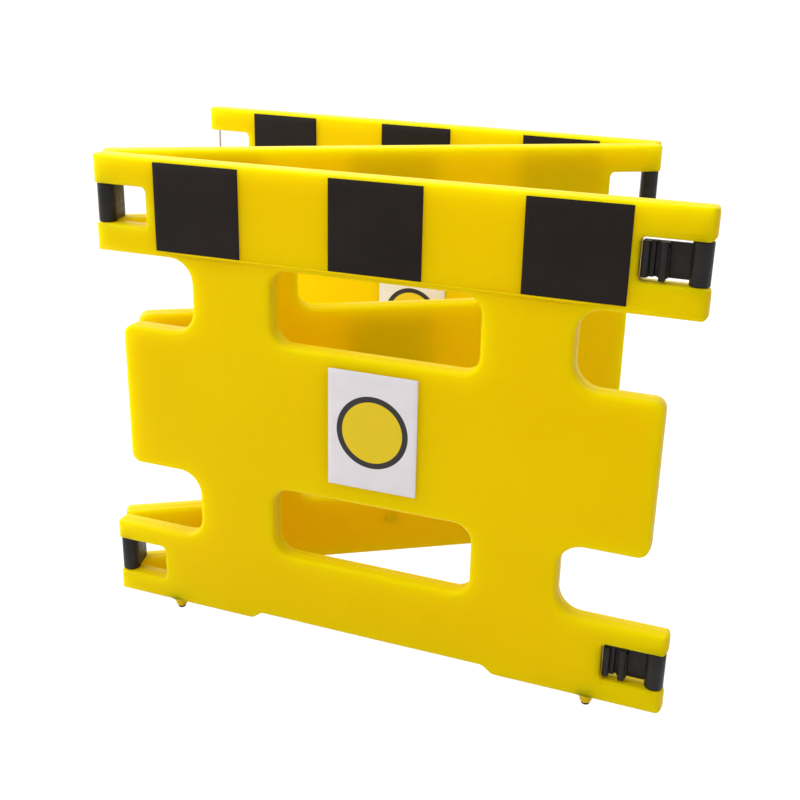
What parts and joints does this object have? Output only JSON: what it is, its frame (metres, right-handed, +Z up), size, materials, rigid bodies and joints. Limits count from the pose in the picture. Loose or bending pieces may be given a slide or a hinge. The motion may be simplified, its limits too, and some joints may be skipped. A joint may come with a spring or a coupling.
{
  "type": "folding pedestrian barrier",
  "caption": "Folding pedestrian barrier: hollow plastic panels with windows and end slots, joined end to end by pinned links, with snap clips for the next set.",
  "frame": {"origin": "middle of the set's bounding box, on the floor under the rubber feet", "axes": "+X along the front panel to its clip end, +Y from the front panel to the rear panel, +Z up"},
  "size_m": [0.7702, 0.4714, 0.5352],
  "materials": {
    "yellow_plastic": "satin moulded polyethylene",
    "black_plastic": "satin moulded plastic",
    "steel": "bright drawn wire",
    "rubber": "matt",
    "tape": "satin vinyl tape",
    "label": "satin printed film"
  },
  "bodies": {
    "front_panel": {"front_panel": "yellow_plastic", "front_left_upper_pin": "steel", "front_left_lower_pin": "steel", "front_right_upper_pin": "steel", "front_right_lower_pin": "steel", "front_left_foot": "rubber", "front_right_foot": "rubber", "front_left_tape": "tape", "front_centre_tape": "tape", "front_right_tape": "tape", "front_label": "label", "front_blow_plug": "yellow_plastic"},
    "middle_panel": {"middle_panel": "yellow_plastic", "middle_left_upper_pin": "steel", "middle_left_lower_pin": "steel", "middle_right_upper_pin": "steel", "middle_right_lower_pin": "steel", "middle_left_foot": "rubber", "middle_right_foot": "rubber", "middle_left_tape": "tape", "middle_centre_tape": "tape", "middle_right_tape": "tape", "middle_label": "label", "middle_blow_plug": "yellow_plastic"},
    "rear_panel": {"rear_panel": "yellow_plastic", "rear_left_upper_pin": "steel", "rear_left_lower_pin": "steel", "rear_right_upper_pin": "steel", "rear_right_lower_pin": "steel", "rear_left_foot": "rubber", "rear_right_foot": "rubber", "rear_left_tape": "tape", "rear_centre_tape": "tape", "rear_right_tape": "tape", "rear_label": "label", "rear_blow_plug": "yellow_plastic"},
    "left_links": {"left_upper_link": "black_plastic", "left_lower_link": "black_plastic"},
    "right_links": {"right_upper_link": "black_plastic", "right_lower_link": "black_plastic"},
    "upper_clip_link": {"upper_clip_link": "black_plastic"},
    "lower_clip_link": {"lower_clip_link": "black_plastic"}
  },
  "joints": [
    {"name": "left_link_swing", "type": "hinge", "parent": "front_panel", "child": "left_links", "pos_m": [-0.2554, -0.22237, 0.48295], "axis": [0, 0, 1], "range_deg": [-17.9, 72.1]},
    {"name": "middle_panel_swing", "type": "hinge", "parent": "left_links", "child": "middle_panel", "pos_m": [-0.26401, -0.19573, 0.48295], "axis": [0, 0, 1], "range_deg": [-15.8, 74.2]},
    {"name": "right_link_swing", "type": "hinge", "parent": "middle_panel", "child": "right_links", "pos_m": [0.2597, 0.15355, 0.48295], "axis": [0, 0, 1], "range_deg": [-67.8, 22.2]},
    {"name": "rear_panel_swing", "type": "hinge", "parent": "right_links", "child": "rear_panel", "pos_m": [0.25412, 0.18099, 0.48295], "axis": [0, 0, 1], "range_deg": [-74.7, 15.3]},
    {"name": "upper_clip_swing", "type": "hinge", "parent": "front_panel", "child": "upper_clip_link", "pos_m": [0.3741, -0.22237, 0.48295], "axis": [0, 0, 1], "range_deg": [0, 180]},
    {"name": "lower_clip_swing", "type": "hinge", "parent": "front_panel", "child": "lower_clip_link", "pos_m": [0.3741, -0.22237, 0.06025], "axis": [0, 0, 1], "range_deg": [0, 180]}
  ]
}
